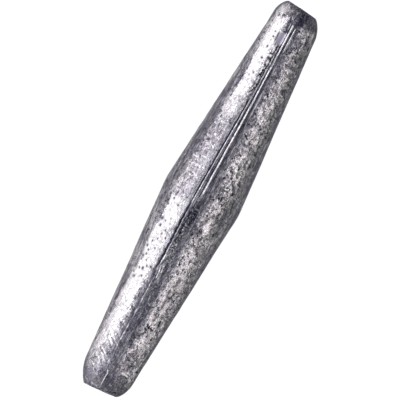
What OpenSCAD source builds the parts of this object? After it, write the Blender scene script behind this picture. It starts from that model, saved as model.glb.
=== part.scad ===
// A lined in-line sinker: a lead casting that tapers both ways from its belt to two nipped-off ends,
// with a brass tube through it that the fishing line runs in.
// Millimetres. It lies along X with its slim end at +X, and the origin is on the axis at the belt.

/* [Tapers] */
// Length from the belt to the face of the slim end
slim_len = 41.2; // [30:0.2:60]
// Length from the belt to the face of the stout end
stout_len = 42.8; // [30:0.2:60]
// Diameter at the belt, where the two tapers meet
belt_d = 16; // [12:0.1:24]
// Diameter that the slim taper would have at its face if the shoulder weren't rounded
slim_taper_d = 9.3; // [7.6:0.1:11.8]
// Diameter that the stout taper would have at its face if the shoulder weren't rounded
stout_taper_d = 9.9; // [8:0.1:11.8]
// Length along the axis in which the belt's crease is softened
belt_soft_len = 2.4; // [0.6:0.2:8]

/* [Ends] */
// Length of the quarter ellipse that rounds the slim shoulder
slim_round_len = 4; // [2:0.1:6]
// Depth of that quarter ellipse, measured towards the axis
slim_round_depth = 2.7; // [1:0.1:3]
// Length of the quarter ellipse that rounds the stout shoulder
stout_round_len = 4.3; // [2:0.1:6]
// Depth of that quarter ellipse, measured towards the axis
stout_round_depth = 2.8; // [1:0.1:3]
// Length that the slanted cut takes off each rounded tip, measured on the axis
nip_len = 0.4; // [0.3:0.05:0.8]
// Slant of the slim end's face, in degrees
slim_slant = 5.8; // [0:0.1:6]
// Slant of the stout end's face, in degrees
stout_slant = 3.9; // [0:0.1:6]

/* [Parting line] */
// How far the plane in which the mould parts is turned about the axis, in degrees
parting_turn = 4.5; // [0:0.5:45]
// Width of the raised land that the mould leaves along the parting line
land_w = 1.15; // [0.5:0.05:2]
// Height of that land above the taper
land_h = 0.08; // [0.04:0.01:0.2]
// Thickness of the fin of flash that stands along one edge of the land
fin_t = 0.22; // [0.12:0.01:0.4]
// Height of the fin above the slim taper
slim_fin_h = 0.22; // [0.12:0.01:0.4]
// Height of the fin above the stout taper, where it is worn down
stout_fin_h = 0.14; // [0.1:0.01:0.4]

/* [Line tube] */
// Bore of the tube, which the fishing line runs in
line_d = 2.4; // [1.4:0.1:3]
// Wall of the tube
tube_wall = 0.35; // [0.2:0.05:0.5]
// Gap all round between the tube and the hole in the lead
tube_gap = 0.02; // [0.01:0.01:0.05]
// How far the tube stops short of the centre of each face
tube_setback = 0.35; // [0.3:0.05:1]
// Width of the countersink at each mouth of the hole
mouth_chamfer = 0.5; // [0.3:0.05:0.8]

/* [Hidden] */
$fn = 96;

// Steps in each quarter ellipse and in the softened crease
round_steps = 14;
belt_steps = 8;

belt_r = belt_d / 2;
tube_r = line_d / 2 + tube_wall;
hole_r = tube_r + tube_gap;
tube_len = slim_len + stout_len - 2 * tube_setback;
// Enough to carry a cut clear of the solid that it is made in
overrun = belt_d;

slim_slope = (belt_r - slim_taper_d / 2) / slim_len;
stout_slope = (belt_r - stout_taper_d / 2) / stout_len;

// Radius of a taper at a distance from the belt
function taper_r(dist, slope) = belt_r - slope * dist;

// A point at share t of the quadratic curve from a to c that is drawn towards b
function curve(a, b, c, t) = a * pow(1 - t, 2) + b * 2 * t * (1 - t) + c * pow(t, 2);

// A rounded shoulder as [distance, radius]: a quarter ellipse hung on the taper, which ends at the uncut tip
function shoulder(face, slope, round_len, round_depth) = [
    for (i = [0 : round_steps])
        let (
            angle = 90 * i / round_steps,
            dist = face + nip_len - round_len * (1 - sin(angle))
        )
        [dist, taper_r(dist, slope) - round_depth * (1 - cos(angle))]
];

// The same points on the other side of the belt, in the opposite order
function mirrored(points) = [for (i = [len(points) - 1 : -1 : 0]) [-points[i].x, points[i].y]];

slim_shoulder = shoulder(slim_len, slim_slope, slim_round_len, slim_round_depth);
stout_shoulder = mirrored(shoulder(stout_len, stout_slope, stout_round_len, stout_round_depth));

belt_half = belt_soft_len / 2;
belt_crease = [
    for (i = [0 : belt_steps])
        curve(
            [-belt_half, taper_r(belt_half, stout_slope)],
            [0, belt_r],
            [belt_half, taper_r(belt_half, slim_slope)],
            i / belt_steps
        )
];

// Where each taper ends and its shoulder starts to round over
slim_taper_end = slim_shoulder[0];
stout_taper_end = stout_shoulder[round_steps];

// A body turned about X, from its outline above the axis as [x, radius]
module turned(outline) {
    first = outline[0];
    last = outline[len(outline) - 1];
    rotate([0, 90, 0])
        rotate_extrude()
            polygon(concat(
                [[0, first.x]],
                [for (p = outline) [p.y, p.x]],
                [[0, last.x]]
            ));
}

// A web of thickness t that stands out from an outline by h, above and below the axis, with its middle at y
module web(outline, h, t, y) {
    above = [for (p = outline) [p.x, p.y + h]];
    below = [for (i = [len(outline) - 1 : -1 : 0]) [outline[i].x, -outline[i].y - h]];
    translate([0, y + t / 2, 0])
        rotate([90, 0, 0])
            linear_extrude(height = t)
                polygon(concat(above, below));
}

// The land that the rounded edges of the mould leave, with a fin along one edge of it on each taper
module parting_line() {
    fin_y = (land_w - fin_t) / 2;
    rotate([-parting_turn, 0, 0]) {
        web(concat([stout_taper_end], belt_crease, [slim_taper_end]), land_h, land_w, 0);
        web([[0, belt_r], slim_taper_end], slim_fin_h, fin_t, -fin_y);
        web([stout_taper_end, [0, belt_r]], stout_fin_h, fin_t, fin_y);
    }
}

// What the nippers take off an end: all that lies beyond a face, which is slanted so that it reaches out at +Y
module nipped_off(face, slant) {
    translate([face, 0, 0])
        rotate([0, 0, -slant])
            translate([0, -overrun, -overrun])
                cube([overrun, 2 * overrun, 2 * overrun]);
}

// The countersink of a mouth of the hole, square to the axis, with the face half-way along it
module countersink(face) {
    translate([face - mouth_chamfer, 0, 0])
        rotate([0, 90, 0])
            cylinder(r1 = hole_r, r2 = hole_r + 2 * mouth_chamfer, h = 2 * mouth_chamfer);
}

// The hole that the tube lines, with a countersink at each mouth
module tube_hole() {
    translate([-stout_len - overrun, 0, 0])
        rotate([0, 90, 0])
            cylinder(r = hole_r, h = stout_len + slim_len + 2 * overrun);
    countersink(slim_len);
    mirror([1, 0, 0])
        countersink(stout_len);
}

module lead_casting() {
    color("slategray")
        difference() {
            union() {
                turned(concat(stout_shoulder, belt_crease, slim_shoulder));
                parting_line();
            }
            nipped_off(slim_len, slim_slant);
            mirror([1, 0, 0])
                nipped_off(stout_len, stout_slant);
            tube_hole();
        }
}

module line_tube() {
    color("darkgoldenrod")
        translate([tube_setback - stout_len, 0, 0])
            rotate([0, 90, 0])
                difference() {
                    cylinder(r = tube_r, h = tube_len);
                    translate([0, 0, -overrun])
                        cylinder(d = line_d, h = tube_len + 2 * overrun);
                }
}

lead_casting();
line_tube();
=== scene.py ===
"""A cast-lead in-line sinker with a brass tube through it, on a pale floor and seen from straight above.

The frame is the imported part's: X runs along the axis towards the slim end, Y towards the side on which both
nipped faces reach out furthest, and Z up. Shapes are worked out in millimetres, and meshes are in metres.
"""

import math
from collections import namedtuple

import bpy
import numpy as np
from mathutils import Matrix, Vector


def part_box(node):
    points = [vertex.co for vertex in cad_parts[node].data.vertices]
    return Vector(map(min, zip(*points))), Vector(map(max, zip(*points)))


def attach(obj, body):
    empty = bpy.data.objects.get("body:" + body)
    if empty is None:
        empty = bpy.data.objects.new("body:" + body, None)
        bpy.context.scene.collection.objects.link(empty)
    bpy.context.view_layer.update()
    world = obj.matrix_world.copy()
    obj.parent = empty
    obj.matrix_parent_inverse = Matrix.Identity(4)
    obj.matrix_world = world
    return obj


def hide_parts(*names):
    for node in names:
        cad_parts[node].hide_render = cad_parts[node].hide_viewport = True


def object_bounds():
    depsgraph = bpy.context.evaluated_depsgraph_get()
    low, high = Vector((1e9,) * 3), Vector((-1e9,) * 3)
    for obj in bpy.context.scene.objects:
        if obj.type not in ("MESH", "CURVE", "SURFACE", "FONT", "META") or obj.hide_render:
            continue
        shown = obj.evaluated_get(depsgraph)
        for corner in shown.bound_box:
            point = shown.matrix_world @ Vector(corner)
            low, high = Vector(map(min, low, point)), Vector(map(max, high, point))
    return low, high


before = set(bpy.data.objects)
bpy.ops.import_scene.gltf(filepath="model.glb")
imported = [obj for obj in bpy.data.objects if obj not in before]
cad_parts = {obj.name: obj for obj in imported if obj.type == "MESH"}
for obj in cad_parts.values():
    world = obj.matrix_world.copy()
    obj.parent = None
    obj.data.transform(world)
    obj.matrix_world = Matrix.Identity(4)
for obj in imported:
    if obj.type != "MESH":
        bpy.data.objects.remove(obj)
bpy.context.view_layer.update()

MM = 0.001
scene = bpy.context.scene

# Sizes of the casting, in millimetres and degrees
slim_len = 41.2
stout_len = 42.8
belt_r = 8.0
slim_taper_r = 4.65
stout_taper_r = 5.0
crease_half = 1.2
mouth_chamfer = 0.5
parting_turn = 4.5
land_h = 0.07

# An end of the casting: its side of the belt, how far its face lies from the belt, the face's slant and
# radius, how far from the face its shoulder starts, and the first and last place of the shoulder's arc on a
# quarter ellipse, from 0 at its flat start to 1 at its steep end. The shoulder's start and both places have
# a middle and a swing towards +Y.
End = namedtuple("End", "side face slant face_r start arc")
slim_end = End(1, slim_len, 5.8, 3.25, (3.4, -0.8), ((0.03, 0.0), (0.92, 0.03)))
stout_end = End(-1, stout_len, 3.9, 3.4, (4.25, 0.15), ((0.02, 0.03), (0.74, -0.24)))
# How far the stout end leans towards -Y, over its last stretch
stout_lean, stout_lean_len = 0.1, 16

# The tube's sizes come from its node
tube_low, tube_high = (np.array(corner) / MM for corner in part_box("line_tube"))
tube_r = tube_high[2]
tube_wall = 0.35
tube_ease = 0.08
tube_columns = 48
tube_gap = 0.02
hole_r = tube_r + tube_gap
mouth_r = hole_r + mouth_chamfer

slim_slope = (belt_r - slim_taper_r) / slim_len
stout_slope = (belt_r - stout_taper_r) / stout_len

# How finely the casting is divided, and how much its columns crowd towards the parting line
body_step = 0.2
hole_step = 4.0
shoulder_rows = 22
face_rows = 8
casting_columns = 192
column_crowding = 0.55

# Lattice noise: how many values it has, how far its places are shifted, and the primes that mix its cells
noise_values = 4096
noise_shift = 1000
noise_primes = (73856093, 19349663, 83492791)


def smooth(low, high, value):
    """Goes from 0 at low to 1 at high along the cubic 3t^2 - 2t^3."""
    t = np.clip((value - low) / (high - low), 0, 1)
    return t * t * (3 - 2 * t)


def bell(value, width):
    """1 at zero, falling off as exp(-(value / width)^2)."""
    return np.exp(-((value / width) ** 2))


def lattice_noise(points, wavelength, seed):
    """Noise from -1 to 1: random values at the corners of a cubic lattice.

    They are eased over each cell by 6t^5 - 15t^4 + 10t^3.
    """
    values = np.random.default_rng(seed).uniform(-1, 1, noise_values)
    place = points / wavelength + noise_shift
    cell = np.floor(place).astype(np.int64)
    t = place - cell
    ease = t ** 3 * (t * (t * 6 - 15) + 10)
    total = np.zeros(points.shape[:-1])
    for corner in np.ndindex(2, 2, 2):
        x, y, z = ((cell[..., i] + corner[i]) * prime for i, prime in enumerate(noise_primes))
        weight = np.prod(np.where(corner, ease, 1 - ease), axis=-1)
        total += weight * values[(x ^ y ^ z) % noise_values]
    return total


def layered_noise(points, wavelength, seed, layers=3):
    """A sum of lattice noises, each with half the wavelength and half the height of the one before."""
    return sum(lattice_noise(points, wavelength / 2 ** i, seed + i) / 2 ** i for i in range(layers))


def on_axis(x):
    """Points on the axis, for noise that changes along x only."""
    return np.stack([x, 0 * x, 0 * x], -1)


def stepped(start, end, step):
    """Places from start to end, both included, about one step apart."""
    return np.linspace(start, end, max(2, round(abs(end - start) / step) + 1))


def body_r(x):
    """Radius of the two tapers at x, with the crease at the belt softened along a quadratic curve."""
    taper = belt_r - np.where(x > 0, slim_slope * x, -stout_slope * x)
    t = np.clip((x / crease_half + 1) / 2, 0, 1)
    crease = belt_r - crease_half * (stout_slope * (1 - t) ** 2 + slim_slope * t ** 2)
    return np.where(abs(x) < crease_half, crease, taper)


def shoulder(end, share, angle):
    """An end's shoulder at shares from its start to the rim of the slanted face, as x and radius.

    Its radius drops from the taper's to the face's as sqrt(1 - s^2) does while s goes along the end's arc.
    """
    towards_y = np.sin(angle)
    rim = end.face + math.tan(math.radians(end.slant)) * end.face_r * towards_y
    start = end.face - end.start[0] - end.start[1] * towards_y
    first, last = (middle + swing * towards_y for middle, swing in end.arc)
    s = first + (last - first) * share
    x = end.side * (start + (rim - start) * share)
    flat, steep = np.sqrt(1 - first ** 2), np.sqrt(1 - last ** 2)
    drop = (flat - np.sqrt(1 - s ** 2)) / (flat - steep)
    return x, body_r(x) + (end.face_r - body_r(end.side * rim)) * drop


def face_ring(end, share, angle):
    """An end's slanted face at shares from its rim to the mouth of the hole, as x and radius."""
    r = end.face_r + (mouth_r - end.face_r) * share + 0 * angle
    return end.side * (end.face + math.tan(math.radians(end.slant)) * r * np.sin(angle)), r


def lean_at(x):
    """How far the stout end leans towards -Y at x: more and more over its last stretch, as t^2."""
    return stout_lean * np.clip((stout_lean_len - stout_len - x) / stout_lean_len, 0, 1) ** 2


def casting_grid():
    """The casting's bare surface as grids of x, angle and radius.

    Columns go round the axis from +Z towards +Y. Rows go along the body from the stout face to the slim one,
    and back through the hole.
    """
    share = np.arange(casting_columns // 2) / (casting_columns // 2)
    half = math.pi * share - column_crowding / 2 * np.sin(2 * math.pi * share)
    angle = np.concatenate([half, half + math.pi]) + math.radians(parting_turn)
    outwards = np.sin(np.linspace(0, math.pi / 2, shoulder_rows))[:, None]
    inwards = np.linspace(0, 1, face_rows)[1:, None]
    stout_x, stout_r = shoulder(stout_end, outwards, angle)
    slim_x, slim_r = shoulder(slim_end, outwards, angle)
    slim_face_x, slim_face_r = face_ring(slim_end, inwards, angle)
    stout_face_x, stout_face_r = face_ring(stout_end, inwards[::-1], angle)
    body_rows = round((slim_x[0].mean() - stout_x[0].mean()) / body_step)
    body_x = stout_x[0] + (slim_x[0] - stout_x[0]) * np.linspace(0, 1, body_rows)[1:-1, None]
    hole_x = stepped(slim_len - mouth_chamfer, mouth_chamfer - stout_len, hole_step)[:, None] + 0 * angle
    x = np.concatenate([stout_x[::-1], body_x, slim_x, slim_face_x, hole_x, stout_face_x])
    r = np.concatenate([
        stout_r[::-1], body_r(body_x), slim_r, slim_face_r, hole_r + 0 * hole_x, stout_face_r])
    return x, np.broadcast_to(angle, x.shape), r


def wrapped(angle):
    """The same angle between -pi and pi."""
    return np.mod(angle + math.pi, 2 * math.pi) - math.pi


class Surface:
    """Places on the casting's bare surface, and marks measured along it."""

    def __init__(self, x, angle, r):
        self.x, self.angle, self.r = x, angle, r
        lean = lean_at(x) * (r > mouth_r)
        self.points = np.stack([x, r * np.sin(angle) - lean, r * np.cos(angle)], -1)
        self.above = self.points[..., 2] > 0

    def away(self, x, y, turn=0.0, below=False):
        """Distances along and across a mark whose middle is at x and y as seen from above, or from below."""
        middle = np.arcsin(np.clip(y / body_r(x), -1, 1))
        if below:
            middle = math.pi - middle
        dx, ds = self.x - x, self.r * wrapped(self.angle - middle)
        turn = math.radians(turn)
        return dx * math.cos(turn) + ds * math.sin(turn), ds * math.cos(turn) - dx * math.sin(turn)

    def spot(self, x, y, length, width, turn=0.0, below=False):
        """A soft oval spot, 1 in its middle."""
        along, across = self.away(x, y, turn, below)
        return bell(along, length / 2) * bell(across, width / 2)

    def stroke(self, x, y, length, width, turn=0.0, below=False):
        """A straight stroke with soft edges and pointed ends, 1 along its middle."""
        along, across = self.away(x, y, turn, below)
        inside = np.clip(1 - (2 * along / length) ** 2, 0, 1)
        return np.sqrt(inside) * bell(across, width / 2)

    def disc(self, x, y, length, width):
        """An oval with a clear edge, 1 inside it."""
        along, across = self.away(x, y)
        return smooth(1.15, 0.85, np.hypot(2 * along / length, 2 * across / width))

    def spots(self, rows):
        """The sum of soft spots, from rows that end with a strength."""
        return sum(strength * self.spot(*place) for *place, strength in rows)


def mesh_piece(name, points, faces, material, looks=None):
    """A smooth mesh at the origin, from points in millimetres, with a number at each vertex for a look."""
    mesh = bpy.data.meshes.new(name)
    mesh.from_pydata((points.reshape(-1, 3) * MM).tolist(), [], faces)
    mesh.materials.append(material)
    mesh.polygons.foreach_set("use_smooth", [True] * len(mesh.polygons))
    mesh.update()
    for look, values in (looks or {}).items():
        layer = mesh.attributes.new(look, "FLOAT", "POINT")
        layer.data.foreach_set("value", np.asarray(values, np.float32).ravel())
    piece = bpy.data.objects.new(name, mesh)
    scene.collection.objects.link(piece)
    return piece


def grid_faces(rows, columns, first=0, wraps=True):
    """Four-sided faces between rings of vertices, counted from a first one. The last may meet the first."""
    row, column = np.meshgrid(np.arange(rows if wraps else rows - 1), np.arange(columns), indexing="ij")
    here, after = row * columns, (row + 1) % rows * columns
    beside = (column + 1) % columns
    corners = np.stack([here + column, after + column, after + beside, here + beside], -1)
    return (corners.reshape(-1, 4) + first).tolist()


def capped_faces(rows, columns, first):
    """Faces of a row of rings that is closed by a cap at each end."""
    start = list(range(first, first + columns))
    end = [vertex + (rows - 1) * columns for vertex in start]
    return grid_faces(rows, columns, first, wraps=False) + [start, end[::-1]]


def outward_normals(points):
    """Normals of a grid that closes on itself both ways, from the differences between neighbours."""
    along = np.roll(points, -1, 0) - np.roll(points, 1, 0)
    across = np.roll(points, -1, 1) - np.roll(points, 1, 1)
    normal = np.cross(along, across)
    return normal / np.linalg.norm(normal, axis=-1, keepdims=True)


def seam_y(x, below):
    """Where the seam runs, as y seen from above: straight on the slim half, wandering on the stout half."""
    line = on_axis(x)
    wander = 0.07 * lattice_noise(line, 1.0, 71) + 0.05 * lattice_noise(line, 0.45, 72)
    if below:
        course = np.interp(x, [-42, -30, -12, 0, 40], [-0.2, 0.1, -0.2, 0.0, 0.1])
    else:
        course = np.interp(
            x, [-43, -39, -37.5, -36, -31, -18.5, -16.5, -8, -5, 1.5, 9.3, 17, 21, 29, 33],
            [0.42, 0.46, 0.96, 1.12, 1.07, 1.08, 1.31, 1.35, 1.46, 1.41, 1.23, 1.0, 0.91, 0.82, 0.87])
    return course + smooth(-0.5, -3, x) * wander


def fin_offset(x, below):
    """How far the fin at the land's other edge lies from the seam: less and less towards the slim end."""
    if below:
        return 1.1 + 0 * x
    return np.interp(x, [-1, 1.5, 9.3, 17, 21, 29, 37], [1.2, 1.23, 1.08, 0.94, 0.85, 0.71, 0.69])


def across_seam(surface):
    """How far each place lies from the seam towards -Y, in millimetres along the surface."""
    x, angle, r = surface.x, surface.angle, surface.r
    above, below = (np.arcsin(seam_y(x, side) / body_r(x)) for side in (False, True))
    return np.where(np.cos(angle) > 0, -r * wrapped(angle - above), r * wrapped(angle - math.pi + below))


def across_fin(surface, across):
    """How far each place lies past the fin, in units that narrow with the land towards the slim end."""
    past = across - np.where(surface.above, fin_offset(surface.x, False), fin_offset(surface.x, True))
    unit = np.interp(surface.x, [1.5, 13, 17, 33], [1.6, 1.4, 1.2, 1.0])
    return np.where(past > 0, past / unit, past)


def on_body(x):
    """1 on the straight part of the body and 0 on its shoulders, with soft ends."""
    return smooth(slim_len - 3.2, slim_len - 3.8, x) * smooth(stout_len - 0.4, stout_len - 1.0, -x)


# Marks as seen from above. Unless it says otherwise, a row starts with x, y, length and width.

# Patches, with how much duller or, below zero, brighter they are
patches = [
    (-41.4, -2.6, 3.6, 4.6, 0.1), (-40.5, 0.4, 5, 1.1, -0.3), (-40.4, 2.2, 2.8, 3, -0.3),
    (-40, -2.2, 7, 6, 0.2), (-39, 2.6, 9, 6, 0.5), (-38.5, -0.4, 7, 1.1, -0.25),
    (-38.2, -2.3, 1.8, 1.6, 0.2), (-38.2, 3.2, 5, 2.4, -0.25), (-38, -4.4, 4, 1.5, -0.3),
    (-38, -0.9, 4, 1.4, -0.2), (-38, 0.5, 4, 1.4, -0.35), (-38, 4.3, 4, 1.6, -0.35),
    (-37.4, -3.2, 1.6, 3.4, -0.1), (-37.2, -3.7, 1.6, 1.6, 0.25), (-36, -5, 8, 1.4, -0.15),
    (-35, -2.8, 5, 3.4, 0.25), (-33.5, 4, 6, 1.6, -0.4), (-33, -4.9, 6, 1.3, -0.2),
    (-32.6, -0.9, 6, 1.4, -0.3), (-32.6, 2.1, 5, 1.2, 0.25), (-32.5, -4.1, 6, 1.4, -0.2),
    (-30, -0.2, 22, 2.6, 0.15), (-27, -4.1, 6, 1.3, 0.2), (-27, -3.9, 7, 1.4, 0.15),
    (-27, -2, 7, 1.4, -0.15), (-27, -1, 26, 1.4, 0.35), (-27, 0.95, 6, 1, 0.25), (-27, 5.4, 6, 1.2, 0.35),
    (-21, -4.9, 7, 1.3, -0.15), (-21, -4.3, 6, 1.1, -0.15), (-21, -3.1, 6, 1.3, 0.2),
    (-19, -2.2, 6, 1.8, -0.2), (-15, -3.6, 6, 1.8, -0.15), (-14.8, -2.6, 6, 1.6, 0.15),
    (-12.4, -3.3, 6.5, 2.6, -0.08), (-9.2, -2.6, 5, 1.4, 0.25), (-9.2, 6.2, 6, 1.2, -0.3),
    (-9, -4.4, 6, 2.2, 0.3), (-6.5, -2.3, 2.2, 1.2, 0.4), (-6, -0.8, 12, 2.2, 0.35),
    (-4.9, -3.5, 2.6, 1.4, -0.5), (-3.6, -3.5, 5, 1.6, 0.15), (-3.4, -5.4, 6, 1.7, 0.4),
    (-3.4, -2.8, 5, 1.2, 0.2), (-3.4, -2, 5, 1.3, -0.25), (-2.6, -4.5, 6, 1.5, 0.3),
    (0.3, -5.8, 14, 2.6, 0.3), (1.2, -3.3, 2, 1.8, 0.25), (2.5, -4.2, 7, 3, 0.15), (2.5, -2, 6, 2, 0.2),
    (2.5, -1.2, 6, 1.2, 0.2), (7, 2.7, 18, 1.8, -0.3), (8.4, -3.3, 5, 1.4, 0.15), (14.2, -4.2, 6, 3, 0.22),
    (18, 3.4, 5, 4.4, -0.4), (20, -4.6, 5, 1.6, 0.15), (20, -4.3, 6, 1.3, 0.22), (20, -0.9, 38, 2, 0.25),
    (20, 4.7, 6, 1.2, -0.3), (24, -4.9, 34, 2.2, 0.35), (26, 5.2, 6, 1.4, -0.3), (31, -2.6, 8, 3, 0.12),
    (31.8, -3.6, 6, 1.3, 0.3), (31.8, -1.4, 6, 1.2, 0.15), (32, -0.9, 6, 1.6, 0.2),
    (35.2, -1.6, 1.8, 1.6, 0.3), (37.6, -2.6, 2.8, 1.4, 0.4), (37.8, -0.8, 4, 1.4, 0.45),
    (38.4, -4.1, 4.4, 1.4, -0.4), (38.6, 0.4, 2.6, 1.4, -0.4), (39.4, 3.7, 3.4, 3.4, -0.9),
    (39.6, 1.7, 2.6, 1.8, -0.35), (40.2, -3.8, 3.4, 2.4, 0.4), (40.4, -2.6, 2.8, 4, 0.6),
    (40.8, 2, 1.5, 3, 0.35),
]
# Stretches of bare metal with ragged edges: first and last x, low and high y, and tarnish. Where two
# overlap, the later one counts.
bare_stretches = [
    (20.8, 38.1, 1.6, 4.12, 0), (-31.5, -18.2, 2.45, 5.1, 0.1), (-18.4, -2.4, 1.72, 5.25, 0.1),
    (-36.6, -31, 3.7, 5.1, 0.2),
]
# A thin grey haze over bright metal, with its strength
hazes = [(-37, 2.2, 11, 5, 1.6), (-0.5, 3.4, 5, 3, 0.4), (8, 4, 20, 5, 1.1)]
# The grey smear with a clear edge, the shallow dent round it, and a dull corner of the stout end
smear_place = (34.2, 0.98, 2.6, 1.75)
smear_dent = (34.2, 1.0, 2.9, 2.1)
dull_corner = (-41.0, 3.4, 3.0, 5.0)
# Dark stains on and beside the land, with their strength
stains = [
    (-40.6, -0.9, 5.6, 1.5, 0.1), (-21, -0.3, 6, 1, 0.45), (-14.5, 0, 7, 1.8, 0.35),
    (-8.8, 0.3, 8, 1.8, 0.5), (-4.2, -0.1, 4.6, 2, 0.9), (35.7, 0.8, 1.4, 1.5, 0.5),
    (37.3, -0.8, 4, 0.9, 0.35), (37.3, 1.1, 2.8, 1.1, 0.5), (40, -1.2, 3.4, 2.2, 0.5),
]
# Fine black and white pepper, with its strength
peppered_patches = [
    (-20, 0.8, 8, 1, 0.25), (-8, 0.5, 12, 1.4, 0.7), (28, 1.15, 18, 1.3, 1.2), (33.5, 4.5, 8, 1, 0.9),
]
# Where file strokes cross the stout taper, with their strength
filed_patches = [(-39.5, 1.8, 5, 4, 0.12), (-34, 2.8, 7.4, 5.2, 0.8)]
# Black nicks in the skin, with their turn in degrees
nicks = [
    (-28.1, -2.5, 1, 0.5, 80), (-27.5, -2.8, 0.9, 0.42, 60), (-27.1, -2.4, 0.7, 0.42, 90),
    (-24.6, -3.4, 0.8, 0.26, 15), (-20.3, -3.9, 1.2, 0.24, -30), (-15.3, -2.5, 1, 0.36, 6),
    (-12.5, -3.8, 1.6, 0.36, 4), (-7.6, -3.5, 1.7, 0.36, -12), (0.9, -3.5, 0.8, 0.42, 10),
    (2.9, -3.5, 2, 0.36, 88), (4.5, -4.2, 1.9, 0.42, 45), (5.6, -3.3, 0.6, 0.4, 20),
    (6.3, -4.2, 0.7, 0.4, 70), (6.8, -2.6, 0.6, 0.46, 0), (9.4, -5.3, 1.8, 0.24, -5),
    (9.8, -4.6, 0.9, 0.24, 60), (12.6, -5.2, 2.4, 0.26, 10), (13.2, -3.2, 0.5, 0.3, 30),
    (17.5, -2.9, 0.6, 0.28, 75), (27.6, -3.3, 0.6, 0.3, 50), (34.1, 1.9, 2.6, 0.26, 0),
]
# Small dark dots in the bright metal: x, y and width
dots = [
    (-19.9, 4.5, 0.4), (-19.2, 3.2, 0.4), (-19.1, 5, 0.4), (-18, 4.3, 0.4), (-17.8, 3.7, 0.5),
    (-17.1, 3.2, 0.35), (-16.9, 2.4, 0.4), (-16.3, 4.8, 0.4), (-16.1, 3.8, 0.35), (-15.6, 4.8, 0.4),
    (-15, 4.4, 0.4), (-14.1, 4.4, 0.4), (-13.4, 5, 0.45), (-13.3, 3.4, 0.35), (-12.2, 4.6, 0.3),
    (-11.4, 3.8, 0.35), (-10.6, 2.5, 0.35), (-10.1, 3.6, 0.35), (-9.3, 3.2, 0.35), (-8.8, 4.6, 0.45),
    (-7.6, 4.1, 0.35), (-7.4, 4.9, 0.55), (-6.7, 3.4, 0.3), (-4.4, 5.2, 0.35), (-3.8, 3.4, 0.4),
    (-2.9, 4.7, 0.4), (-2.2, 4.7, 0.35), (-1.6, 4.6, 0.4), (-0.6, 4.6, 0.35), (24.4, 4.3, 0.4),
    (25.9, 2.7, 0.35), (26.1, 4.2, 0.4), (29.2, 2.6, 0.4), (31.7, 2.7, 0.45), (33.9, 2.6, 0.35),
    (35, 2.7, 0.35),
]
# Bright strokes, with their turn in degrees
strokes = [
    (-42.2, 1.9, 1.6, 0.3, 90), (-42, 4, 1.4, 0.24, 70), (-38.8, 3.36, 2.3, 0.26, 60),
    (-37.8, -3, 2.2, 0.3, 82), (-37.2, -3.6, 1.2, 0.3, 70), (-37.1, 3.12, 1.7, 0.26, 59),
    (-36.9, 0.73, 0.7, 0.26, 42), (-36.8, 2.29, 2.1, 0.26, 57), (-36.2, 1.77, 1.7, 0.26, 59),
    (-35.3, 2.91, 1.8, 0.26, 55), (-35.2, 4.12, 2, 0.26, 41), (-34.4, 2.17, 1.3, 0.26, 39),
    (-33.7, 2.95, 1.4, 0.26, 60), (-33.1, 2.34, 1.4, 0.26, 22), (-32.9, 3.85, 1.8, 0.26, 52),
    (-32, 4.73, 2, 0.26, 61), (-31.8, 2.95, 1.9, 0.26, 35), (-31.1, 0.88, 2.1, 0.24, 0),
    (-29.1, 0.9, 1, 0.22, 3), (-28.6, -0.9, 1.2, 0.24, 10), (-26.9, -2.05, 1.8, 0.2, 0),
    (-25.8, 0.88, 1.3, 0.22, -2), (-25.6, 2.8, 2.2, 0.22, 84), (-24.6, -0.7, 1, 0.24, 45),
    (-24, 3, 3, 0.24, 80), (-23.4, -0.7, 0.8, 0.3, 60), (-22.8, 0.9, 2.3, 0.24, 2),
    (-21.5, -0.4, 1.4, 0.24, 8), (-18.2, -2.1, 2, 0.2, 3), (-17.2, 0.1, 2.6, 0.24, 4),
    (-16.2, 0.85, 1.8, 0.34, -25), (-15.4, 0.55, 1.2, 0.24, -18), (-14.5, 1.08, 1.3, 0.2, 10),
    (-13.9, -0.3, 1, 0.24, 30), (-12.6, 0.3, 1, 0.2, 6), (-11.6, 1.17, 2, 0.2, 3),
    (-10.5, -3.3, 1.5, 0.22, 88), (-9.4, 0.42, 1.6, 0.22, 4), (-8.9, 1.16, 1.3, 0.2, -4),
    (-8.6, -0.5, 0.9, 0.22, -40), (-7.3, 0.3, 1.4, 0.22, -5), (-6.9, -3.65, 1.6, 0.24, -10),
    (-6.9, 1.14, 1.4, 0.2, 5), (-6, -0.1, 1.2, 0.24, 20), (-4.6, 0.6, 0.8, 0.24, 60),
    (-4.4, 1.2, 0.9, 0.2, 0), (-3.2, -0.9, 0.7, 0.24, 30), (-2.6, 1.1, 0.7, 0.2, -8),
    (-2.35, -3.3, 1.6, 0.24, 90), (-0.5, -2.35, 2, 0.18, 0), (0.3, 5.6, 2.6, 0.2, 98),
    (3, 3, 1.5, 0.55, 80), (3.5, 5.1, 0.8, 0.45, 10), (4.9, -3.6, 1.9, 0.36, 50), (4.9, 3.3, 3.2, 0.28, 92),
    (6.3, 5, 1.4, 0.24, 84), (6.9, 3.3, 1.5, 0.26, 104), (7.4, -3.4, 1.4, 0.22, 100),
    (8.3, -2.5, 1.8, 0.22, 95), (9.3, -2.9, 1.5, 0.2, 85), (9.4, 2.7, 1.2, 0.3, 50),
    (10.6, -3.1, 1.4, 0.2, 92), (11.1, 4.8, 1, 0.26, 66), (11.9, 3.6, 0.8, 0.4, 20),
    (12, -2.9, 1.2, 0.22, 80), (13.8, 4.5, 1, 0.24, 80), (14.6, 3.3, 1.4, 0.2, 97),
    (15.7, 3.8, 1.7, 0.18, 68), (18.7, -2.4, 1, 0.3, 30), (20.5, -0.72, 6.4, 0.24, 0),
    (21.3, -2.9, 1.2, 0.26, 40), (23.4, -3.5, 1, 0.28, 50), (34.6, -0.72, 4.4, 0.2, 0),
    (36.6, -2, 1.2, 0.22, 80), (37.3, -1.9, 1, 0.22, 95), (37.8, -1.8, 1, 0.2, 90),
]
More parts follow.
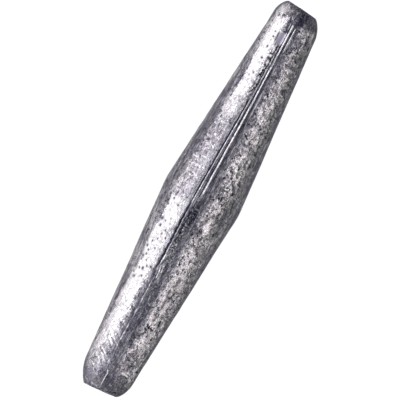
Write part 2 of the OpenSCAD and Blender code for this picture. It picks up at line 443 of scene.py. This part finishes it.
# Pits and scratches strewn all over: how many there are, and the first and last x of their middles
pit_count = 200
scratch_count = 60
strewn_span = (-41, 39)

# Ridges of flash: first and last x, whether they follow the fin or the seam, how far past it they stand,
# height, thickness, how much of them is broken off, a seed, and whether they are on the underside
ridges = [
    (0.0, slim_len - 3.6, True, 0.0, 0.17, 0.36, 0.2, 51, False),
    (0.6, slim_len - 3.7, True, 0.0, 0.2, 0.24, 0.6, 53, True),
    (-11.8, -7.4, False, 1.12, 0.18, 0.3, 0.75, 54, False),
    (-18.8, -14.4, False, 0.6, 0.13, 0.26, 1.2, 62, False),
    (-17.6, -14.8, False, 1.1, 0.12, 0.26, 1.2, 63, False),
    (-23.4, -20.4, False, 1.4, 0.08, 0.22, 1.2, 64, False),
    (0.8, slim_len - 3.8, False, 0.28, 0.05, 0.16, 0.5, 56, False),
    (-15.2, -4.4, False, 0.33, 0.19, 0.34, 0.5, 57, False),
    (0.6 - stout_len, 4.9 - stout_len, False, 0.28, 0.08, 0.18, 0.4, 59, False),
    (17.0, 25.0, True, 0.8, 0.04, 0.14, 0.8, 60, False),
    (31.5, slim_len - 4.0, True, 0.7, 0.06, 0.18, 0.3, 61, False),
    (3.8 - stout_len, -0.4, False, 0.3, 0.12, 0.2, 1.0, 55, True),
]
# The step along a ridge, how deep its foot is sunk, and how finely the shoulders under it are followed
ridge_step = 0.12
ridge_foot = 0.15
outline_steps = 60

# What each vertex of the lead says of its looks, and what it says on the fins, which are worn bright. Two of
# these numbers are distances across the land, and the others say how strong a look is.
fin_looks = {
    "tarnish_and_shade": 0.1, "scuff": 0.9, "across_seam": -2.0, "past_fin": -2.0, "grime_and_shade": 0.0, "stain": 0.0,
    "near_lines": 0.0, "far_lines": 0.0, "smear": 0.0, "haze": 0.0, "filed": 0.0, "streaky": 0.0,
    "speckled": 0.0, "peppered": 0.0,
}


def strewn_marks(surface):
    """Pits and scratches strewn over the body: how far they raise it, and how they dirty and scuff it."""
    draw = np.random.default_rng(5)
    rise, grime_and_shade, scuff = np.zeros((3, *surface.x.shape))
    for _ in range(pit_count):
        place = draw.uniform(*strewn_span)
        spot = surface.spot(
            place, draw.uniform(-1, 1) * body_r(place), draw.uniform(0.4, 1.0), draw.uniform(0.35, 0.7),
            draw.uniform(0, 180), draw.random() < 0.5)
        rise -= draw.uniform(0.02, 0.07) * spot
        grime_and_shade += draw.uniform(0.0, 0.6) * spot
    for _ in range(scratch_count):
        place = draw.uniform(*strewn_span)
        stroke = surface.stroke(
            place, draw.uniform(-1, 1) * body_r(place), draw.uniform(1.5, 6), draw.uniform(0.2, 0.32),
            draw.uniform(-35, 35) + 90 * (draw.random() < 0.3), draw.random() < 0.5)
        rise -= draw.uniform(0.01, 0.03) * stroke
        scuff += draw.uniform(0.1, 0.4) * stroke
    return np.stack([rise, grime_and_shade, scuff])


def placed_marks(surface):
    """The strokes, nicks and dots of the lists above, as rise, grime and scuff."""
    rise, grime_and_shade, scuff = np.zeros((3, *surface.x.shape))
    unevenness = 0.75 + 0.6 * lattice_noise(surface.points, 0.45, 77)
    for place in strokes:
        stroke = surface.stroke(*place) * unevenness
        rise += 0.035 * stroke
        scuff += 0.9 * stroke
    for place in nicks:
        nick = surface.stroke(*place)
        rise -= 0.05 * nick
        grime_and_shade += 1.3 * nick
    for x, y, width in dots:
        dot = surface.spot(x, y, 1.5 * width, 1.3 * width)
        rise -= 0.03 * dot
        grime_and_shade += 1.2 * dot
    return np.stack([rise, grime_and_shade, scuff])


def seam_crack(surface, across):
    """The crack along the seam beside the belt and a finer split past its lip, both painted black as painted
    shade: 0 in sound lead.
    """
    x, points = surface.x, surface.points
    jagged = 0.2 * lattice_noise(points, 0.6, 65)
    crack = bell(across - 0.02 + jagged, 0.2) * smooth(-18.5, -13.5, x) * smooth(-1.2, -2.6, x)
    split = bell(across - 0.66 - 1.2 * jagged, 0.11) * smooth(-11.0, -9.5, x) * smooth(-2.4, -3.4, x)
    crack *= 3.2 + 2.6 * lattice_noise(points, 1.1, 66)
    split *= np.clip(1.4 + 2.4 * lattice_noise(points, 0.9, 67), 0, 3)
    return crack + split


def land_rise(surface, across, past_fin):
    """How far the land between the seam and the fin stands up: less on the stout half, where it is worn."""
    height = land_h * np.interp(surface.x, [-18, -15, -1, 2], [0.35, 0.8, 0.8, 1.0])
    return height * smooth(0.0, 0.2, across) * smooth(0.0, -0.2, past_fin) * on_body(surface.x)


def tarnish_shade_and_bare(surface):
    """How dull each place is, from 0 to about 1.5, with painted shade on both flanks, and 1 inside the
    stretches of bare metal.
    """
    x, y, points = surface.x, surface.points[..., 1], surface.points
    sideways = y / surface.r
    tarnish_and_shade = 0.45 + 0.14 * layered_noise(points, 5, 31, 3)
    # Painted shade: the -Y flank, away from the brighter lamp, grows duller and darker towards its edge
    tarnish_and_shade += 0.3 * smooth(0.6, 0.85, -sideways) + 0.5 * smooth(0.86, 0.96, -sideways)
    # Painted shade: the +Y flank past the bright band is made duller and darker too
    flank_edge = np.interp(x, [-30, -12, -2, 12, 28, 33, 37], [0.82, 0.79, 0.73, 0.71, 0.69, 0.76, 0.85])
    flank = smooth(-0.07, 0.07, sideways - flank_edge) * (1 - 0.8 * smooth(0.88, 0.96, sideways))
    tarnish_and_shade += flank * np.interp(
        x, [-30, -18, -8, 3, 14, 26, 33, 36], [0.05, 0.1, 0.1, 0.4, 0.48, 0.36, 0.25, 0.0])
    tarnish_and_shade += surface.spots(patches) * surface.above
    end_edge = slim_len - 3.6 + (1.2 * layered_noise(points, 2.2, 97, 2) + 0.6) * (abs(y - 1.0) > 2.6)
    tarnish_and_shade += 0.15 * (1 - on_body(x)) + 0.3 * smooth(-0.25, 0.25, x - end_edge)

    ragged = 0.26 * layered_noise(points, 1.6, 91, 3)
    mottled = 1 + 0.2 * layered_noise(points, 1.2, 95, 2)
    bare = np.zeros(x.shape)
    for first_x, last_x, low_y, high_y, left_over in bare_stretches:
        lengthwise = smooth(-0.4, 0.4, x - first_x + 3 * ragged) * smooth(-0.4, 0.4, last_x - x + 2 * ragged)
        crosswise = smooth(-0.15, 0.15, y - low_y + ragged) * smooth(-0.15, 0.15, high_y - y + ragged)
        inside = lengthwise * crosswise * surface.above
        tarnish_and_shade += (left_over * mottled - tarnish_and_shade) * inside
        bare += inside
    return tarnish_and_shade, bare


def bands_and_ends(surface):
    """1 in the band towards +Y, in the band towards -Y and on both ends. The bands' edges waver."""
    x = surface.x
    sideways = surface.points[..., 1] / body_r(x) + 0.05 * layered_noise(surface.points, 2.0, 81, 3)
    edge = np.interp(x, [-18, -8, 8, 16], [1.1, 0.8, 0.8, 0.95])
    high_band = smooth(0.22, 0.34, sideways) * smooth(0.84, 0.66, sideways)
    low_band = smooth(-0.14, -0.24, sideways) * smooth(-edge, 0.2 - edge, sideways)
    ends = smooth(slim_len - 3.8, slim_len - 3.0, x) + smooth(stout_len - 5, stout_len - 3, -x)
    return high_band, low_band, ends


def casting(material):
    """The lead body: the bare surface raised and cut along its normals, and the numbers for its looks."""
    surface = Surface(*casting_grid())
    x, points = surface.x, surface.points
    across = across_seam(surface)
    past_fin = across_fin(surface, across)
    straight = on_body(x)

    crack = seam_crack(surface, across)
    rise, grime_and_shade, scuff = strewn_marks(surface) + placed_marks(surface)
    rise += land_rise(surface, across, past_fin) - 0.02 * crack - 0.1 * surface.spot(*smear_dent)
    rise += 0.05 * layered_noise(points, 9, 11, 2) + 0.022 * layered_noise(points, 1.7, 21, 2)
    outside = smooth(mouth_r, mouth_r + mouth_chamfer, surface.r)

    tarnish_and_shade, bare = tarnish_shade_and_bare(surface)
    high_band, low_band, ends = bands_and_ends(surface)
    smear = surface.disc(*smear_place) + 0.2 * surface.spot(*dull_corner)
    pepper = surface.spots(peppered_patches) * surface.above
    looks = {
        "tarnish_and_shade": np.clip(tarnish_and_shade, 0, 1.5),
        # Grime of pits, nicks and dots, and painted shade in the crack and split
        "grime_and_shade": np.clip(grime_and_shade + crack, 0, 1),
        "stain": np.clip(surface.spots(stains), 0, 1),
        "scuff": np.clip(scuff, 0, 1),
        "across_seam": np.clip(across, -2, 4),
        "past_fin": np.clip(past_fin, -2, 4),
        "near_lines": straight * np.interp(
            x, [-36, -18, -16, -14.5, -5, -3, 4, 17, 22], [0.2, 0.25, 0.3, 1.1, 1.1, 0.3, 1.1, 1.0, 0.45]),
        "far_lines": straight * np.interp(x, [-11, -9, -5, -2, 2], [0.15, 0.7, 0.7, 0.3, 1.0]),
        "smear": smear,
        "haze": np.clip(surface.spots(hazes) * surface.above * (1 - bare), 0, 1),
        "filed": np.clip(surface.spots(filed_patches) * surface.above, 0, 1),
        "streaky": (1 - high_band - low_band) * (1 - ends),
        "speckled": (0.45 + 0.55 * low_band) * (1 - 0.8 * ends),
        "peppered": np.clip(pepper, 0, 1) * straight * (1 - 0.8 * np.clip(smear, 0, 1)),
    }
    points = points + outward_normals(points) * (rise * outside)[..., None]
    return mesh_piece("casting", points, grid_faces(*x.shape), material, looks)


def outline_r(x, angle):
    """Radius of the bare surface at x along a line at one angle round the axis, shoulders and all."""
    share = np.sin(np.linspace(0, math.pi / 2, outline_steps))
    stout_x, stout_r = shoulder(stout_end, share, angle)
    slim_x, slim_r = shoulder(slim_end, share, angle)
    rounded = np.interp(
        x, np.concatenate([stout_x[::-1], slim_x]), np.concatenate([stout_r[::-1], slim_r]))
    return np.where((x > stout_x[0]) & (x < slim_x[0]), body_r(x), rounded)


def ridge_rings(x, y, height, thickness, below):
    """Rings of a ridge that stands on the body along x: a thin wedge whose foot is sunk into the lead."""
    r = outline_r(x, math.pi if below else 0.0)
    foot, top = r - ridge_foot, r + height
    section = [(-0.5, foot), (-0.45, r), (-0.3, top), (-0.05, top), (0.45, r), (0.5, foot)]
    side = -1 if below else 1
    rings = []
    for across, out in section:
        angle = np.arcsin(y / r) + across * thickness / r
        rings.append(np.stack([x, side * out * np.sin(angle) - lean_at(x), side * out * np.cos(angle)], -1))
    return np.stack(rings, 1)


def fins(material):
    """Flash along the edges of the land: ragged thin ridges that rise and fall with noise along x."""
    points, faces, count = [], [], 0
    for first_x, last_x, at_fin, past, height, thickness, broken, seed, below in ridges:
        x = stepped(first_x, last_x, ridge_step)
        line = on_axis(x)
        y = seam_y(x, below) - at_fin * fin_offset(x, below) - past
        y += 0.03 * layered_noise(line, 2.5, seed)
        rise = 0.85 + 0.35 * layered_noise(line, 1.4, seed + 10)
        rise -= 1.3 * broken * smooth(0.25, 0.6, lattice_noise(line, 5.0, seed + 20))
        rise *= height * smooth(0, 1.0, x - first_x) * smooth(0, 1.0, last_x - x)
        rings = ridge_rings(x, y, np.maximum(rise, -0.05), thickness, below)
        points.append(rings.reshape(-1, 3))
        faces += capped_faces(*rings.shape[:2], count)
        count += len(points[-1])
    looks = {look: np.full(count, value) for look, value in fin_looks.items()}
    return mesh_piece("parting_fins", np.concatenate(points), faces, material, looks)


def tube(material):
    """The brass tube: its wall's section, with eased corners, swept round the axis."""
    inner_r = tube_r - tube_wall
    start, end = tube_low[0], tube_high[0]
    length = stepped(start + tube_ease, end - tube_ease, hole_step)
    rim = [tube_r - tube_ease, inner_r + tube_ease]
    x = np.concatenate([length, [end, end], length[::-1], [start, start]])[:, None]
    r = np.concatenate([0 * length + tube_r, rim, 0 * length + inner_r, rim[::-1]])[:, None]
    angle = np.arange(tube_columns) * 2 * math.pi / tube_columns
    points = np.stack([x + 0 * angle, r * np.sin(angle), r * np.cos(angle)], -1)
    return mesh_piece("brass_tube", points, grid_faces(len(x), tube_columns), material)


def add(tree, kind, inputs=None, **settings):
    """Adds a node; inputs maps socket names or numbers to values or to sockets that feed them."""
    node = tree.nodes.new(kind)
    for key, value in settings.items():
        setattr(node, key, value)
    for key, value in (inputs or {}).items():
        if isinstance(value, bpy.types.NodeSocket):
            tree.links.new(value, node.inputs[key])
        else:
            node.inputs[key].default_value = value
    return node


def maths(tree, operation, *values, clamp=False):
    """The result of a Math node."""
    node = add(tree, "ShaderNodeMath", dict(enumerate(values)), operation=operation, use_clamp=clamp)
    return node.outputs[0]


def times(tree, first, second, clamp=False):
    """One number multiplied by another."""
    return maths(tree, "MULTIPLY", first, second, clamp=clamp)


def linear(tree, value, gain, offset, clamp=False):
    """A number multiplied by a gain, plus an offset."""
    return maths(tree, "MULTIPLY_ADD", value, gain, offset, clamp=clamp)


def between(tree, amount, first, second):
    """A number between two others."""
    return linear(tree, maths(tree, "SUBTRACT", second, first), amount, first)


def flipped(tree, value):
    """One minus a number."""
    return maths(tree, "SUBTRACT", 1.0, value)


def remapped(tree, value, low, high):
    """Goes from 0 at low to 1 at high in a straight line."""
    inputs = {"Value": value, "From Min": low, "From Max": high}
    return add(tree, "ShaderNodeMapRange", inputs).outputs["Result"]


def blended(tree, amount, first, second):
    """A colour between two others."""
    return add(tree, "ShaderNodeMix", {0: amount, 6: first, 7: second}, data_type="RGBA").outputs[2]


def ramp(tree, value, stops):
    """A colour read off a row of stops, each a place and a colour."""
    node = add(tree, "ShaderNodeValToRGB", {"Fac": value})
    elements = node.color_ramp.elements
    while len(elements) < len(stops):
        elements.new(0.5)
    for element, (place, color) in zip(elements, stops):
        element.position = place
        element.color = (*color, 1)
    return node.outputs["Color"]


def stretched(tree, vector, *scale):
    """Places scaled along each axis. A pattern that reads them is drawn out along an axis scaled below 1."""
    return add(tree, "ShaderNodeMapping", {"Vector": vector, "Scale": scale}).outputs["Vector"]


def attribute_value(tree, name):
    """The number that a mesh carries under a name."""
    return add(tree, "ShaderNodeAttribute", attribute_name=name).outputs["Fac"]


def new_group(name, inputs, outputs):
    """A node group with float or vector sockets; returns it with its input and output nodes."""
    group = bpy.data.node_groups.new(name, "ShaderNodeTree")
    for socket, kind, value in inputs:
        made = group.interface.new_socket(socket, in_out="INPUT", socket_type=kind)
        if value is not None:
            made.default_value = value
    for socket, kind in outputs:
        group.interface.new_socket(socket, in_out="OUTPUT", socket_type=kind)
    return group, group.nodes.new("NodeGroupInput").outputs, group.nodes.new("NodeGroupOutput").inputs


def blotches_group():
    """Irregular blotches: layered noise of a given size, cut at a level with soft or hard edges."""
    group, given, result = new_group(
        "blotches",
        [("Vector", "NodeSocketVector", None), ("Size", "NodeSocketFloat", 0.001),
         ("Level", "NodeSocketFloat", 0.5), ("Softness", "NodeSocketFloat", 0.1),
         ("Raggedness", "NodeSocketFloat", 0.6)],
        [("Mask", "NodeSocketFloat")])
    scale = maths(group, "DIVIDE", 1.0, given["Size"])
    noise = add(group, "ShaderNodeTexNoise", {
        "Vector": given["Vector"], "Scale": scale, "Detail": 3.0, "Roughness": given["Raggedness"]})
    low = maths(group, "SUBTRACT", given["Level"], given["Softness"])
    high = maths(group, "ADD", given["Level"], given["Softness"])
    mask = add(group, "ShaderNodeMapRange", {
        "Value": noise.outputs["Fac"], "From Min": low, "From Max": high}, interpolation_type="SMOOTHSTEP")
    group.links.new(mask.outputs["Result"], result["Mask"])
    return group


blotches = blotches_group()


def pattern(tree, vector, size, level, softness, raggedness):
    """Blotches placed in a material, as a number from 0 to 1."""
    inputs = {"Vector": vector, "Size": size, "Level": level, "Softness": softness, "Raggedness": raggedness}
    return add(tree, "ShaderNodeGroup", inputs, node_tree=blotches).outputs["Mask"]


def new_material(name):
    """An empty material and its node tree."""
    material = bpy.data.materials.new(name)
    material.use_nodes = True
    material.node_tree.nodes.clear()
    return material, material.node_tree


def finish_metal(tree, color, roughness, height, bump, depth, tint=(1, 1, 1, 1)):
    """Ends a material in a metal with a bumped surface."""
    bumped = add(tree, "ShaderNodeBump", {"Strength": bump, "Distance": depth, "Height": height})
    shader = add(tree, "ShaderNodeBsdfPrincipled", {
        "Base Color": color, "Metallic": 1.0, "Roughness": roughness, "Specular Tint": tint,
        "Normal": bumped.outputs["Normal"]})
    add(tree, "ShaderNodeOutputMaterial", {"Surface": shader.outputs["BSDF"]})


# Patterns in the lead: how each is drawn out, the size of its blotches in metres, the level at which they
# are cut out of noise, the softness of their edges and their raggedness
lead_patterns = {
    "shade": ("round", 0.0009, 0.5, 0.12, 0.9),
    "drawn_shade": ("drawn", 0.0005, 0.5, 0.12, 0.9),
    "hue": ("round", 0.004, 0.5, 0.1, 0.7),
    "film": ("rubbed", 0.0006, 0.5, 0.15, 0.8),
    "pits": ("round", 0.0008, 0.6, 0.04, 0.85),
    "specks": ("round", 0.0008, 0.585, 0.015, 0.8),
    "flecks": ("round", 0.00085, 0.46, 0.015, 0.8),
    "clusters": ("oval", 0.0017, 0.5, 0.09, 0.75),
    "streaks": ("drawn", 0.00034, 0.52, 0.09, 0.8),
    "gleams": ("drawn", 0.0003, 0.4, 0.05, 0.8),
    "grain": ("round", 0.00024, 0.5, 0.06, 0.5),
    "drawn_grain": ("drawn", 0.00022, 0.5, 0.06, 0.5),
    "chips": ("oval", 0.00036, 0.5, 0.04, 0.6),
    "scratches": ("filed", 0.0004, 0.55, 0.03, 0.5),
    "wear": ("long", 0.0008, 0.46, 0.12, 0.6),
    "soot": ("round", 0.00045, 0.47, 0.03, 0.8),
}

# Colours of the lead. The shade blends a pair, from its light parts to its dark ones, and the film that of
# the haze.
violet_skin = (0.345, 0.32, 0.385, 1), (0.16, 0.15, 0.19, 1)
# The green skin also paints the light's tint on the -Y side
green_skin = (0.323, 0.32, 0.311, 1), (0.143, 0.144, 0.136, 1)
bare_metal = (0.90, 0.86, 0.88, 1), (0.64, 0.605, 0.64, 1)
thin_haze = (0.27, 0.25, 0.295, 1), (0.5, 0.464, 0.524, 1)
# The darkest colour of dull lead, which also paints shade on the flanks
dull_and_shade_color = (0.01, 0.01, 0.012, 1)
fleck_color = (0.92, 0.86, 0.876, 1)
speck_color = (0.03, 0.029, 0.034, 1)
streak_color = (0.08, 0.077, 0.10, 1)
gleam_color = (0.7, 0.665, 0.7, 1)
grain_color = (0.0, 0.0, 0.0, 1)
hollow_color = (0.01, 0.01, 0.014, 1)
scuff_color = (0.92, 0.89, 0.92, 1)
# Dark of grime, and of the painted shade in the crack and the grooves
grime_and_shade_color = (0.010, 0.012, 0.03, 1)
# Painted highlight on the lips and ridges beside the seam and the fin
painted_lip_highlight = (0.85, 0.83, 0.85, 1)
smear_color = (0.39, 0.365, 0.44, 1)

# Heights beside the seam: a groove, a lip and a fine line, also painted: the groove as painted shade, the lip
# as a painted highlight
near_profile = [
    (-0.22, 0), (-0.14, -1.0), (0.07, -1.0), (0.15, 0), (0.28, 0.7), (0.37, 0), (0.46, -0.9), (0.54, 0)]
# Heights beside the fin: a fine line before it, a groove past it and then a faint ridge, painted dark as
# shade where low
far_profile = [
    (-0.44, 0), (-0.35, -1.0), (-0.26, -1.0), (-0.18, 0.1), (0.14, 0.1), (0.2, -0.45), (0.3, -0.25),
    (0.4, -0.45), (0.52, -0.1), (0.6, -0.25), (0.68, 0.1), (0.74, 0.25), (0.82, 0)]
# Distances between which both profiles are read
profile_start, profile_end = -0.5, 2.5


def line_profile(tree, across, profile):
    """A height from -1 to 1 for each distance across the seam, read off a row of places and heights."""
    share = remapped(tree, across, profile_start, profile_end)
    span = profile_end - profile_start
    stops = [((place - profile_start) / span, (height / 2 + 0.5,) * 3) for place, height in profile]
    return linear(tree, ramp(tree, share, stops), 2.0, -1.0)


def seam_lines(tree, look, mark):
    """Heights of the fine lines beside the seam and the fin, from -1 to 1, worn away in places. Besides the
    bump, they paint shade where low and a highlight where high.
    """
    near = times(tree, line_profile(tree, look["across_seam"], near_profile), look["near_lines"])
    far = times(tree, line_profile(tree, look["past_fin"], far_profile), look["far_lines"])
    return times(tree, maths(tree, "ADD", near, far), linear(tree, mark["wear"], 0.5, 0.5))


def lead_material():
    """Cast lead: a dull skin with islands of bare metal, dark in its pits and bright where it is scuffed."""
    material, tree = new_material("cast_lead")
    place = add(tree, "ShaderNodeTexCoord").outputs["Object"]
    filing = {"Vector": place, "Rotation": (0, 0, math.radians(54)), "Scale": (9.0, 1.0, 9.0)}
    way = {
        "round": place,
        "drawn": stretched(tree, place, 0.16, 1.0, 1.0),
        "oval": stretched(tree, place, 0.6, 1.0, 1.0),
        "long": stretched(tree, place, 0.3, 1.0, 1.0),
        "rubbed": stretched(tree, place, 1.0, 0.35, 0.35),
        "filed": add(tree, "ShaderNodeMapping", filing, vector_type="TEXTURE").outputs["Vector"],
    }
    mark = {name: pattern(tree, way[drawn], *shape) for name, (drawn, *shape) in lead_patterns.items()}
    look = {name: attribute_value(tree, name) for name in fin_looks}
    tarnish_and_shade, smear, streaky = look["tarnish_and_shade"], look["smear"], look["streaky"]

    # Where the metal is bare: in islands on the bands, and in drawn-out patches between them
    covered = linear(tree, tarnish_and_shade, 0.38, 0.30)
    islands = pattern(tree, way["oval"], 0.0017, covered, 0.05, 0.9)
    drawn_islands = pattern(tree, way["drawn"], 0.0008, covered, 0.1, 0.85)
    bare = between(tree, streaky, islands, drawn_islands)
    shade = between(tree, streaky, mark["shade"], mark["drawn_shade"])
    polish = remapped(tree, tarnish_and_shade, 0.0, 0.4)

    # Painted light: the skin turns from violet to green towards -Y, for the tint of the light on that side,
    # besides random blotches of hue
    sideways = add(tree, "ShaderNodeSeparateXYZ", {"Vector": place}).outputs["Y"]
    side = remapped(tree, sideways, -0.0012, -0.004)
    hue = linear(tree, mark["hue"], 0.3, times(tree, side, 0.7))
    skin = blended(tree, hue, blended(tree, shade, *violet_skin), blended(tree, shade, *green_skin))
    color = blended(tree, bare, skin, blended(tree, shade, *bare_metal))

    # Light flecks and dark specks in clusters, streaks and gleams along the body, and fine grain
    clusters = mark["clusters"]
    lively = times(tree, look["speckled"], polish)
    flecked = times(tree, flipped(tree, mark["flecks"]), linear(tree, bare, 0.6, 0.6), clamp=True)
    flecked = times(tree, flecked, linear(tree, clusters, -0.65, 1.0))
    specked = times(tree, mark["specks"], linear(tree, clusters, 0.7, 0.6), clamp=True)
    specked = times(tree, specked, linear(tree, bare, -0.4, 1.15), clamp=True)
    specked = times(tree, specked, lively)
    streaked = times(tree, mark["streaks"], linear(tree, tarnish_and_shade, 0.6, 0.25), clamp=True)
    streaked = times(tree, streaked, linear(tree, look["speckled"], -0.7, 1.25), clamp=True)
    gleaming = times(tree, flipped(tree, mark["gleams"]), times(tree, streaky, 0.6))
    grain = between(tree, streaky, mark["grain"], mark["drawn_grain"])
    grainy = times(tree, grain, linear(tree, polish, 0.4, 0.05))

    # Pepper beside the seam, scuffs and file strokes
    chips = times(tree, mark["chips"], look["peppered"])
    hollows = times(tree, flipped(tree, mark["chips"]), look["peppered"])
    scuff = maths(tree, "MAXIMUM", look["scuff"], times(tree, mark["scratches"], look["filed"]))
    scuffed = times(tree, scuff, linear(tree, shade, -0.5, 1.2), clamp=True)

    # Grime in the pits and in the sooty stains, and painted shade in the crack and in the grooves of the
    # lines
    lines = seam_lines(tree, look, mark)
    grime_and_shade = maths(tree, "MAXIMUM", look["grime_and_shade"], times(tree, mark["pits"], times(tree, polish, 0.8)))
    grime_and_shade = maths(tree, "MAXIMUM", grime_and_shade, times(tree, lines, -2.0, clamp=True))
    stained = linear(tree, look["stain"], 1.4, linear(tree, mark["soot"], 1.2, -1.0), clamp=True)
    grime_and_shade = maths(tree, "MAXIMUM", grime_and_shade, stained)

    # Each layer covers those before it
    for amount, layer in (
        (times(tree, look["haze"], 0.8), blended(tree, mark["film"], *thin_haze)),
        # The dullest lead darkens: real dullness, and painted shade on the flanks
        (times(tree, remapped(tree, tarnish_and_shade, 0.7, 1.4), 0.5), dull_and_shade_color),
        (times(tree, flecked, lively), fleck_color),
        (specked, speck_color),
        (streaked, streak_color),
        (gleaming, gleam_color),
        (grainy, grain_color),
        (hollows, hollow_color),
        (times(tree, chips, 0.7), scuff_color),
        (scuffed, scuff_color),
        # Grime, and painted shade in the crack and the grooves of the lines
        (times(tree, grime_and_shade, 0.97, clamp=True), grime_and_shade_color),
        # Painted highlight where the lines stand high
        (times(tree, lines, 1.0, clamp=True), painted_lip_highlight),
        (smear, smear_color),
    ):
        color = blended(tree, amount, color, layer)

    roughness = 0.33
    for amount, change in ((bare, -0.13), (grime_and_shade, 0.15), (smear, 0.25)):
        roughness = linear(tree, amount, change, roughness)

    height = times(tree, bare, 0.4)
    for amount, change in (
        (shade, -0.35), (mark["pits"], -0.8), (specked, -0.7), (mark["streaks"], 0.35), (flecked, 0.4),
        (scuff, 0.8), (chips, 2.5),
    ):
        height = linear(tree, amount, change, height)
    height = times(tree, height, linear(tree, smear, -0.8, 1.0))
    height = linear(tree, lines, 1.0, height)
    finish_metal(tree, color, roughness, height, bump=0.8, depth=0.00004, tint=(0.5, 0.5, 0.53, 1))
    return material


def brass_material():
    """Drawn brass, a little dulled."""
    material, tree = new_material("tube_brass")
    place = add(tree, "ShaderNodeTexCoord").outputs["Object"]
    dull = pattern(tree, place, 0.0012, 0.5, 0.2, 0.6)
    lines = pattern(tree, stretched(tree, place, 0.04, 1.0, 1.0), 0.0001, 0.5, 0.3, 0.5)
    color = blended(tree, dull, (0.80, 0.60, 0.28, 1), (0.52, 0.38, 0.19, 1))
    finish_metal(tree, color, linear(tree, dull, 0.25, 0.22), lines, bump=0.4, depth=0.00001)
    return material


lead = lead_material()
brass = brass_material()
for piece, node, slot in (
    (casting(lead), "lead_casting", "cast_lead"),
    (fins(lead), "lead_casting", "cast_lead"),
    (tube(brass), "line_tube", "tube_brass"),
):
    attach(piece, "root")
    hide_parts(node)


# The picture: how far the axis leans in it, its scale at the axis, and where the origin lies in it
picture_lean = math.radians(28.2)
mm_per_px = 0.19514
picture_px = 400
origin_px = (202.67, 196.23)
# Metres from the origin to the camera, and from the middle of the floor to its edges
camera_height = 1.4
floor_half = 3.0


def panel(name, lean, turn, distance, width, height, radiance, color):
    """A soft light whose middle leans from the zenith towards +Y and turns towards +X, facing the object."""
    lean, turn = math.radians(lean), math.radians(turn)
    out = Vector((math.sin(turn), math.cos(turn) * math.sin(lean), math.cos(turn) * math.cos(lean)))
    across = out.cross(Vector((1, 0, 0))).normalized()
    along = across.cross(out).normalized()
    light = bpy.data.lights.new(name, "AREA")
    light.shape = "RECTANGLE"
    light.size = width
    light.size_y = height
    light.energy = radiance * math.pi * width * height
    light.color = color
    lamp = bpy.data.objects.new(name, light)
    axes = Matrix((along, across, out)).transposed().to_4x4()
    lamp.matrix_world = Matrix.Translation(out * distance) @ axes
    scene.collection.objects.link(lamp)


def make_floor():
    """A pale floor under the lowest point of the sinker. It looks brighter than it lights."""
    material, tree = new_material("pale_floor")
    paper = add(tree, "ShaderNodeBsdfDiffuse", {"Color": (0.92, 0.92, 0.92, 1)})
    glow = add(tree, "ShaderNodeEmission", {"Color": (1, 1, 1, 1), "Strength": 1.15})
    ray = add(tree, "ShaderNodeLightPath").outputs
    sharp = maths(tree, "ADD", ray["Is Glossy Ray"], ray["Is Transmission Ray"])
    seen = maths(tree, "ADD", ray["Is Camera Ray"], sharp, clamp=True)
    shader = add(tree, "ShaderNodeMixShader", {
        0: times(tree, seen, 0.8), 1: paper.outputs["BSDF"], 2: glow.outputs["Emission"]})
    add(tree, "ShaderNodeOutputMaterial", {"Surface": shader.outputs["Shader"]})
    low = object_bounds()[0].z
    corners = [(x * floor_half, y * floor_half, low) for x, y in ((-1, -1), (1, -1), (1, 1), (-1, 1))]
    mesh = bpy.data.meshes.new("floor")
    mesh.from_pydata(corners, [], [(0, 1, 2, 3)])
    mesh.materials.append(material)
    floor = bpy.data.objects.new("floor", mesh)
    scene.collection.objects.link(floor)


def make_world():
    """A soft grey room that is darker overhead than at the horizon."""
    world = bpy.data.worlds.new("studio")
    scene.world = world
    world.use_nodes = True
    tree = world.node_tree
    tree.nodes.clear()
    direction = add(tree, "ShaderNodeTexCoord").outputs["Generated"]
    up = add(tree, "ShaderNodeSeparateXYZ", {"Vector": direction}).outputs["Z"]
    color = blended(tree, remapped(tree, up, 0.0, 0.9), (0.9, 0.888, 0.876, 1), (0.262, 0.283, 0.346, 1))
    sky = add(tree, "ShaderNodeBackground", {"Color": color, "Strength": 1.0})
    add(tree, "ShaderNodeOutputWorld", {"Surface": sky.outputs["Background"]})


def make_camera():
    """A long lens straight above, turned so that the axis leans as it does in the picture."""
    image_up = Vector((math.cos(picture_lean), math.sin(picture_lean), 0))
    image_right = Vector((math.sin(picture_lean), -math.cos(picture_lean), 0))
    px = mm_per_px * MM
    rightwards, upwards = picture_px / 2 - origin_px[0], origin_px[1] - picture_px / 2
    eye = image_right * rightwards * px + image_up * upwards * px
    eye.z = camera_height
    data = bpy.data.cameras.new("camera")
    data.lens = data.sensor_width * camera_height / (picture_px * px)
    data.clip_start, data.clip_end = 0.1, 20
    camera = bpy.data.objects.new("camera", data)
    axes = Matrix((image_right, image_up, Vector((0, 0, 1)))).transposed().to_4x4()
    camera.matrix_world = Matrix.Translation(eye) @ axes
    scene.collection.objects.link(camera)
    scene.camera = camera


panel("left_panel", lean=61, turn=-5, distance=0.7, width=0.88, height=0.75, radiance=1.7, color=(1, 1, 1))
panel(
    "right_panel", lean=-47, turn=0, distance=0.7, width=0.9, height=0.54, radiance=1.06,
    color=(1.03, 0.99, 0.95))
make_floor()
make_world()
make_camera()
scene.view_settings.view_transform = "Standard"
